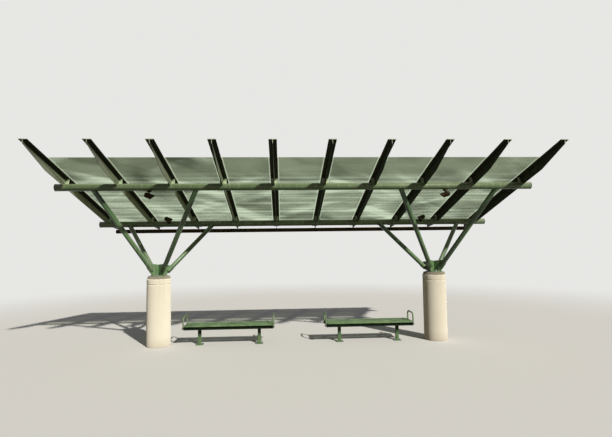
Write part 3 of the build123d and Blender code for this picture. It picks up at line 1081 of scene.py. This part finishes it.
class SHELTER_OT_welds(bpy.types.Operator):
    """Weld beads on the hubs, the struts, the purlins' caps and the saddle plates"""

    bl_idname = "shelter.welds"
    bl_label = "Welds"

    STEPS = 72
    SADDLE_HALF_WIDTH = 0.060
    SADDLE_HALF_THICKNESS = 0.005
    SADDLE_GAP = 0.004
    FLANGE_THICKNESS = 0.0085
    CAP_STEP = 0.003
    CAP_THICKNESS = 0.006
    CLEARANCE = 0.0003

    def gusset_feet(self):
        """Both sides of each gusset where it meets the base plate."""
        for aim, head, direction, across, over in struts():
            outward = Vector((head.x - aim.x, head.y - aim.y, 0)).normalized()
            start = Vector((aim.x, aim.y, BASE_PLATE_TOP))
            for hand in (-1, 1):
                offset = outward.cross(UP) * hand * GUSSET_HALF
                yield [start + offset + outward * reach for reach in (GUSSET_START, GUSSET_REACH)]

    def slot_edges(self):
        """The lines where each gusset comes out of its strut."""
        rise = sqrt(STRUT_RADIUS**2 - GUSSET_HALF**2)
        for aim, head, direction, across, over in struts():
            for level in (-1, 1):
                for hand in (-1, 1):
                    offset = over * level * rise + across * hand * GUSSET_HALF
                    yield [aim + direction * reach + offset for reach in (STRUT_START, STRUT_START + STRUT_SLOT)]

    def copes(self):
        """The saddle-shaped line round the head of each strut, on the surface of its purlin."""
        for aim, head, direction, across, over in struts():
            flat = Vector((0, direction.y, direction.z))
            path = []
            for c, s in turns(self.STEPS):
                rim = (across * c + over * s) * STRUT_RADIUS
                level = Vector((0, rim.y, rim.z))
                square, twice, rest = flat.dot(flat), flat.dot(level), level.dot(level) - PURLIN_RADIUS**2
                back = (twice + sqrt(twice * twice - square * rest)) / square
                path.append(head + rim - direction * back)
            yield path + path[:1]

    def cap_rings(self):
        """The corner round each purlin's cap plate."""
        radius = PURLIN_RADIUS - self.CAP_STEP
        for place in PLACES:
            centre = middle(f"{place}_purlin")
            low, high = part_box(f"{place}_purlin")
            for x in (low.x + self.CAP_THICKNESS + 0.001, high.x - self.CAP_THICKNESS - 0.001):
                ring = [Vector((x, centre.y + radius * c, centre.z + radius * s)) for c, s in turns(self.STEPS)]
                yield ring + ring[:1]

    def saddles(self):
        """Both edges of each saddle plate, on the purlin and under the flange."""
        for place in PLACES:
            purlin = middle(f"{place}_purlin")
            for x in RAFTER_X:
                seat = Vector((x, purlin.y, purlin.z))
                depth = (on_roof(x, purlin.y) - seat).dot(ROOF_NORMAL) - self.FLANGE_THICKNESS
                for height in (PURLIN_RADIUS + self.CLEARANCE, depth):
                    for hand in (-1, 1):
                        line = seat + ROOF_NORMAL * height + DOWN_SLOPE * hand * self.SADDLE_HALF_THICKNESS
                        for half in (-1, 1):
                            yield [line + ALONG * half * reach for reach in (self.SADDLE_GAP, self.SADDLE_HALF_WIDTH)]

    def execute(self, context):
        steel = context.scene.shelter_steel
        for name, paths, radius in (
            ("hub_welds", [*self.gusset_feet(), *self.slot_edges()], steel.weld),
            ("strut_welds", [*self.copes(), *self.cap_rings()], steel.weld),
            ("saddle_welds", [*self.saddles()], steel.small_weld),
        ):
            welds(name, paths, frame_paint(), "green_paint", radius)
        return {"FINISHED"}


class SHELTER_OT_anchors(bpy.types.Operator):
    """Nuts and washers on the columns' heads and on the benches' foot plates"""

    bl_idname = "shelter.anchors"
    bl_label = "Anchor bolts"

    def execute(self, context):
        steel = context.scene.shelter_steel
        heads, feet = [], []
        for side in HANDS:
            column = middle(f"column_{side}")
            for along, across in ((1, 0), (0, 1), (-1, 0), (0, -1)):
                offset = Vector((along, across, 0)) * steel.anchor_circle
                heads.append((Vector((column.x, column.y, BASE_PLATE_TOP)) + offset, UP))
            low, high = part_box(f"bench_{side}_posts")
            foot = high.y - low.y
            inset = steel.foot_bolt_inset
            for start in (low.x, high.x - foot):
                for x in (start + inset, start + foot - inset):
                    for y in (low.y + inset, high.y - inset):
                        feet.append((Vector((x, y, FOOT_PLATE_TOP)), UP))
        bolts("hub_anchor_nuts", heads, "green_paint", steel.anchor_nut)
        bolts("bench_anchor_nuts", feet, "bench_green", steel.foot_nut)
        return {"FINISHED"}


class SHELTER_OT_roof(bpy.types.Operator):
    """Weathered panes with polished edges, their sealant, and the angles that stop them from sliding"""

    bl_idname = "shelter.roof"
    bl_label = "Glass roof"

    FACES_OUT = 0.99
    JOINT_HALF = 0.006
    JOINT_SHORT = 0.006
    JOINT_FLOOR = 0.0005
    JOINT_HOLLOW = 0.0012
    BEAD_SHORT = 0.012
    BEAD_SINK = 0.45
    STOP_GAP = 0.0015
    STOP_LIFT = 0.0002
    STOP_BEVEL = 0.0005
    STOP_NUT = 0.010

    def panes(self, roof):
        for node in PANES:
            shape = merged_solid(node)
            break_edges(shape, roof.arris)
            for face in shape.faces:
                level = face.normal.dot(ROOF_NORMAL)
                face.material_index = 0 if level > self.FACES_OUT else 1 if level < -self.FACES_OUT else 2
            piece = stand_in(node, "pane", as_mesh(f"{node}_pane", shape, outward=False))
            dress(piece, "roof_glass", glass_top(), glass_under(), glass_edge())

    def joints(self, roof, thickness):
        """Sealant in the open joint over each rafter, with a slightly hollow top."""
        floor, top = self.JOINT_FLOOR, thickness - roof.joint_sink
        rim = top + self.JOINT_HOLLOW
        section = [(-1, floor), (1, floor), (1, rim), (0.4, top), (-0.4, top), (-1, rim)]
        shape = bmesh.new()
        for x in RAFTER_X:
            solid(shape, [
                [on_roof(x + side * self.JOINT_HALF, y, above) for side, above in section]
                for y in (GLASS_FRONT + self.JOINT_SHORT, GLASS_REAR - self.JOINT_SHORT)
            ])
        name = "roof_joint_sealant"
        dress(link(name, as_mesh(name, shape)), "roof_glass", sealant_finish())

    def fillets(self, roof):
        """Sealant in the corner between each flange's edge and the underside of the glass."""
        reach = FLANGE_WIDTH / 2 + roof.bead * 0.25
        edges = [x + hand * reach for x in RAFTER_X for hand in (-1, 1)][1:-1]
        ends = (GLASS_FRONT + self.BEAD_SHORT, GLASS_REAR - self.BEAD_SHORT)
        paths = [[on_roof(edge, y, -roof.bead * self.BEAD_SINK) for y in ends] for edge in edges]
        beads(
            "roof_edge_sealant", paths, sealant_finish(), "roof_glass", roof.bead,
            step=0.03, ripple_length=0.37, ripple_depth=0.08,
        )

    def stops(self, roof):
        """Small angles bolted to the flanges behind the low edge of the glass."""
        start = GLASS_REAR + self.STOP_GAP
        wall, leg, height = roof.stop_wall, roof.stop_leg, roof.stop_height
        outline = [(0, 0), (leg, 0), (leg, wall), (wall, wall), (wall, height), (0, height)]
        shape = bmesh.new()
        nuts = []
        for x in RAFTER_X:
            solid(shape, [
                [on_roof(x + end, start, above + self.STOP_LIFT) + DOWN_SLOPE * along for along, above in outline]
                for end in (-roof.stop_width / 2, roof.stop_width / 2)
            ])
            for hand in (-1, 1):
                point = on_roof(x + hand * roof.stop_width * 0.3, start, wall)
                nuts.append((point + DOWN_SLOPE * leg * 0.6, ROOF_NORMAL))
        bmesh.ops.recalc_face_normals(shape, faces=shape.faces)
        break_edges(shape, self.STOP_BEVEL)
        dress(link("glass_stops", as_mesh("glass_stops", shape, outward=False)), "green_paint", frame_paint())
        bolts("glass_stop_nuts", nuts, "green_paint", self.STOP_NUT)

    def execute(self, context):
        roof = context.scene.shelter_roof
        top_corner = max(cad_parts[PANES[0]].data.vertices, key=lambda v: v.co.z).co
        thickness = (top_corner - on_roof(top_corner.x, top_corner.y)).dot(ROOF_NORMAL)
        self.panes(roof)
        self.joints(roof, thickness)
        self.fillets(roof)
        self.stops(roof)
        return {"FINISHED"}


class SHELTER_OT_lamps(bpy.types.Operator):
    """Bullet floodlights with cooling rings, a slanted hood, a lens, a knuckle and a junction box"""

    bl_idname = "shelter.lamps"
    bl_label = "Floodlights"

    STEPS = 48
    GROOVES = (0.046, 0.058, 0.070, 0.082)
    HOOD_LAP = 0.0005
    BOX_SINK = 0.001
    BOX_CHAMFER = 0.003
    BOX_NARROWING = 0.93
    KNUCKLE_RADIUS = 0.013
    KNUCKLE_STEPS = 24
    SCREW_OFFSET = 0.028
    SCREW = 0.008

    def head(self, lamps, place, axis):
        """Housing with a domed back, four cooling grooves and a hollow front that holds the lens."""
        radius, body, inner = lamps.diameter / 2, lamps.body, lamps.diameter / 2 - lamps.wall
        back = [(0, 0), (radius * 0.34, 0.0008), (radius * 0.62, 0.006), (radius * 0.84, 0.016), (radius, 0.032)]
        groove = ((1.0, 0), (0.93, 0.0012), (0.93, 0.0042), (1.0, 0.0054))
        grooves = [(radius * share, start + past) for start in self.GROOVES for share, past in groove]
        bezel = [(radius, body), (inner, body), (inner, body - 0.004), (radius * 0.6, body - 0.006), (0, body - 0.007)]
        return lathe("head", back + grooves + bezel, place, axis, self.STEPS)

    def hood(self, lamps, place, axis, up):
        """A tube past the lens, cut at a slant so that it is longest on top."""
        across = axis.cross(up)
        shape = bmesh.new()
        outer, inner = [
            [
                [
                    shape.verts.new(place + axis * (lamps.body + reach) + (up * c + across * s) * radius)
                    for c, s, reach in edge
                ]
                for edge in (
                    [(c, s, -self.HOOD_LAP) for c, s in turns(self.STEPS)],
                    [(c, s, lamps.hood * (0.04 + 0.96 * (1 + c) / 2)) for c, s in turns(self.STEPS)],
                )
            ]
            for radius in (lamps.diameter / 2, lamps.diameter / 2 - lamps.wall)
        ]
        skin(shape, outer + inner[::-1] + outer[:1])
        return as_mesh("hood", shape)

    def mount(self, lamps, base, rise):
        """Eight-sided junction box seated on the round purlin, and a ribbed knuckle."""
        face = PURLIN_RADIUS + lamps.box_height
        corner = lamps.box_width / 2 / cos(pi / 8)
        across = rise.cross(ALONG)
        low, rim, top = [], [], []
        for c, s in turns(8, 0.5):
            flat = (ALONG * c + across * s) * corner
            seat = sqrt(PURLIN_RADIUS**2 - min(abs(flat.dot(across)), PURLIN_RADIUS * 0.9) ** 2)
            low.append(base + flat + rise * (seat - self.BOX_SINK))
            rim.append(base + flat + rise * (face - self.BOX_CHAMFER))
            top.append(base + flat * self.BOX_NARROWING + rise * face)
        shape = bmesh.new()
        solid(shape, [low, rim, top])
        radius, collar, rib = self.KNUCKLE_RADIUS, self.KNUCKLE_RADIUS + 0.006, self.KNUCKLE_RADIUS + 0.0035
        knuckle = [
            (0, 0), (collar, 0), (collar, 0.003), (radius, 0.005), (radius, 0.010), (rib, 0.0115),
            (rib, 0.0155), (radius, 0.017), (radius, lamps.knuckle), (0, lamps.knuckle),
        ]
        return [as_mesh("box", shape), lathe("knuckle", knuckle, base + rise * face, rise, self.KNUCKLE_STEPS)]

    def lens(self, lamps, place, axis):
        """A low dome of glass."""
        radius, body = lamps.diameter / 2 - lamps.wall, lamps.body
        dome = [
            (0, body - 0.006), (radius * 0.98, body - 0.0045), (radius * 0.98, body - 0.0025),
            (radius * 0.6, body - 0.0008), (0, body),
        ]
        return lathe("lens", dome, place, axis, self.STEPS)

    def execute(self, context):
        lamps = context.scene.shelter_lamps
        face = PURLIN_RADIUS + lamps.box_height
        level = cos(lamps.tilt)
        lenses, screws = [], []
        for place, towards in (("front", 1), ("rear", -1)):
            purlin = middle(f"{place}_purlin")
            mount_angle = getattr(lamps, f"{place}_mount")
            rise = Vector((0, -cos(mount_angle), sin(mount_angle)))
            for side, hand in HANDS.items():
                aim = Vector((-hand * level * cos(lamps.turn), towards * level * sin(lamps.turn), -sin(lamps.tilt)))
                up = aim.cross(UP.cross(aim).normalized())
                base = Vector((hand * getattr(lamps, f"{place}_offset"), purlin.y, purlin.z))
                back = base + rise * (face + lamps.knuckle) - aim * (lamps.body + lamps.hood) / 2
                meshes = [self.head(lamps, back, aim), self.hood(lamps, back, aim, up)]
                meshes += self.mount(lamps, base, rise)
                node = f"floodlight_{place}_{side}"
                dress(stand_in(node, "lamp", joined(f"{node}_lamp", meshes)), "bronze_paint", bronze_finish())
                lenses.append(self.lens(lamps, back, aim))
                screws += [(base + ALONG * x + rise * face, rise) for x in (-self.SCREW_OFFSET, self.SCREW_OFFSET)]
        name = "floodlight_lenses"
        dress(link(name, joined(name, lenses)), "bronze_paint", lens_finish())
        bolts("floodlight_box_screws", screws, "bronze_paint", self.SCREW, stud=0.1)
        return {"FINISHED"}


class SHELTER_OT_benches(bpy.types.Operator):
    """Benches in worn green paint with painted shade under and beside the seats, smooth hoops and cap nuts"""

    bl_idname = "shelter.benches"
    bl_label = "Benches"

    BEND_STEPS = 16
    HOOP_SIDES = 28
    NUT_HEIGHT = 0.022
    NUT_REACH = 0.92
    POST_HALF = 0.030

    def hoop_path(self, x, low, high, bend):
        """Up, over and down in one plane, with round corners."""
        path = [Vector((x, low.y, low.z))]
        for centre_y, start in ((low.y + bend, pi), (high.y - bend, pi / 2)):
            for i in range(self.BEND_STEPS + 1):
                turn = start - i / self.BEND_STEPS * pi / 2
                path.append(Vector((x, centre_y + bend * cos(turn), high.z - bend + bend * sin(turn))))
        path.append(Vector((x, high.y, low.z)))
        return path

    def execute(self, context):
        benches = context.scene.shelter_benches
        half = benches.hoop / 2
        nuts, squares = [], []
        for side in HANDS:
            bench = f"bench_{side}"
            for part, paint in (("seat", seat_paint), ("beam", rail_paint), ("posts", bench_paint)):
                softened(f"{bench}_{part}", "bench_green", paint())
            low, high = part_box(f"{bench}_armrests")
            low, high = low + Vector((half, half, 0)), high - Vector((half, half, half))
            paths = []
            for x, out in ((low.x, -1), (high.x, 1)):
                path = self.hoop_path(x, low, high, benches.hoop_bend)
                paths.append(path)
                for leg in (path[0], path[-1]):
                    nuts.append((leg + Vector((out * half * self.NUT_REACH, 0, self.NUT_HEIGHT)), ALONG * out))
            hoops = beads(
                f"{bench}_hoops", paths, hoop_paint(), "bench_green", half, sides=self.HOOP_SIDES, step=0.006
            )
            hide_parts(f"{bench}_armrests")
            low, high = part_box(f"{bench}_posts")
            foot = high.y - low.y
            corners = [(-1, -1), (1, -1), (1, 1), (-1, 1), (-1, -1)]
            for x in (low.x + foot / 2, high.x - foot / 2):
                for z in (FOOT_PLATE_TOP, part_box(f"{bench}_beam")[0].z):
                    centre = Vector((x, middle(f"{bench}_beam").y, z))
                    squares.append([centre + Vector((a, b, 0)) * self.POST_HALF for a, b in corners])
        bolts("bench_cap_nuts", nuts, "bench_green", benches.cap_nut, stud=0.22)
        welds("bench_welds", squares, bench_paint(), "bench_green", context.scene.shelter_steel.small_weld)
        return {"FINISHED"}


class SHELTER_OT_stage(bpy.types.Operator):
    """Pale floor and sky, a soft sun, and the camera"""

    bl_idname = "shelter.stage"
    bl_label = "Stage"

    SUN_TINT = (1.0, 0.96, 0.88)
    FRAME_WIDTH = 36

    def floor(self, stage):
        """A wide floor that fades into the backdrop, and throws back less light than it shows."""
        half = stage.floor_size
        mesh = bpy.data.meshes.new("floor")
        mesh.from_pydata([(-half, -half, 0), (half, -half, 0), (half, half, 0), (-half, half, 0)], [], [(0, 1, 2, 3)])
        shader = Shader(bpy.data.materials.new("floor"))
        x, y, z = shader.axes(shader.position())
        fade = shader.add(
            "ShaderNodeMapRange", {"interpolation_type": "SMOOTHSTEP"},
            {
                "Value": (x * x + y * y) ** 0.5,
                "From Min": stage.floor_fade_start,
                "From Max": stage.floor_fade_end,
            },
        )
        near = shader.plain("ShaderNodeBsdfDiffuse", stage.floor_tone)
        shown = shader.blend(fade, near, shader.plain("ShaderNodeEmission", stage.backdrop))
        bounce = shader.plain("ShaderNodeBsdfDiffuse", stage.floor_bounce)
        through = shader.maths("MAXIMUM", shader.ray("Glossy"), shader.ray("Transmission"))
        in_sight = shader.maths("MAXIMUM", shader.ray("Camera"), through)
        mesh.materials.append(shader.finish(shader.blend(in_sight, bounce, shown)))
        link("floor", mesh)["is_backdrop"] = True

    def sky(self, stage):
        """Even light from all round, seen as the backdrop's colour."""
        world = bpy.data.worlds.new("pale sky")
        bpy.context.scene.world = world
        shader = Shader(world)
        light = shader.plain("ShaderNodeBackground", stage.sky_tint, Strength=stage.sky_strength)
        seen = shader.plain("ShaderNodeBackground", stage.backdrop)
        in_sight = shader.maths("MAXIMUM", shader.ray("Camera"), shader.ray("Glossy"))
        shader.finish(shader.blend(in_sight, light, seen))

    def sun(self, stage):
        lamp = bpy.data.lights.new("sun", "SUN")
        lamp.energy = stage.sun_strength
        lamp.angle = stage.sun_spread
        lamp.color = self.SUN_TINT
        flat = Vector((sin(stage.sun_turn), -cos(stage.sun_turn), 0))
        towards = flat * cos(stage.sun_height) + UP * sin(stage.sun_height)
        link("sun", lamp).matrix_world = towards.to_track_quat("Z", "Y").to_matrix().to_4x4()

    def camera(self, stage):
        """Turned, then raised, then rolled."""
        ahead = Vector((sin(stage.camera_turn), cos(stage.camera_turn), 0))
        right = Vector((cos(stage.camera_turn), -sin(stage.camera_turn), 0))
        forward = ahead * cos(stage.camera_rise) + UP * sin(stage.camera_rise)
        above = UP * cos(stage.camera_rise) - ahead * sin(stage.camera_rise)
        across = right * cos(stage.camera_roll) - above * sin(stage.camera_roll)
        upright = above * cos(stage.camera_roll) + right * sin(stage.camera_roll)
        data = bpy.data.cameras.new("camera")
        data.sensor_width = self.FRAME_WIDTH
        data.lens = stage.lens
        camera = link("camera", data)
        turn = Matrix((across, upright, -forward)).transposed()
        camera.matrix_world = Matrix.Translation(stage.camera_place) @ turn.to_4x4()
        bpy.context.scene.camera = camera

    def execute(self, context):
        stage = context.scene.shelter_stage
        context.scene.view_settings.view_transform = "Standard"
        self.floor(stage)
        self.sky(stage)
        self.sun(stage)
        self.camera(stage)
        return {"FINISHED"}


class SHELTER_PT_panel(bpy.types.Panel):
    """The shelter's operators and settings"""

    bl_label = "Bus shelter"
    bl_idname = "SHELTER_PT_panel"
    bl_space_type = "VIEW_3D"
    bl_region_type = "UI"
    bl_category = "Shelter"

    def draw(self, context):
        layout = self.layout
        for operator in OPERATORS:
            layout.operator(operator.bl_idname)
        for name, group in SETTINGS.items():
            box = layout.box()
            box.label(text=group.__doc__)
            for key in group.__annotations__:
                box.prop(getattr(context.scene, name), key)


OPERATORS = (
    SHELTER_OT_columns,
    SHELTER_OT_frame,
    SHELTER_OT_welds,
    SHELTER_OT_anchors,
    SHELTER_OT_roof,
    SHELTER_OT_lamps,
    SHELTER_OT_benches,
    SHELTER_OT_stage,
)


def register():
    for group in SETTINGS.values():
        bpy.utils.register_class(group)
    for name, group in SETTINGS.items():
        setattr(bpy.types.Scene, name, PointerProperty(type=group))
    for operator in OPERATORS:
        bpy.utils.register_class(operator)
    bpy.utils.register_class(SHELTER_PT_panel)


def unregister():
    bpy.utils.unregister_class(SHELTER_PT_panel)
    for operator in reversed(OPERATORS):
        bpy.utils.unregister_class(operator)
    for name in SETTINGS:
        delattr(bpy.types.Scene, name)
    for group in reversed(list(SETTINGS.values())):
        bpy.utils.unregister_class(group)


def main():
    register()
    bpy.ops.shelter.columns()
    bpy.ops.shelter.frame()
    bpy.ops.shelter.welds()
    bpy.ops.shelter.anchors()
    bpy.ops.shelter.roof()
    bpy.ops.shelter.lamps()
    bpy.ops.shelter.benches()
    bpy.ops.shelter.stage()
    boxes = {"cad": cad_box, "visual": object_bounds()}
    {name: [list(corner) for corner in box] for name, box in boxes.items()}


if __name__ == "__main__":
    main()
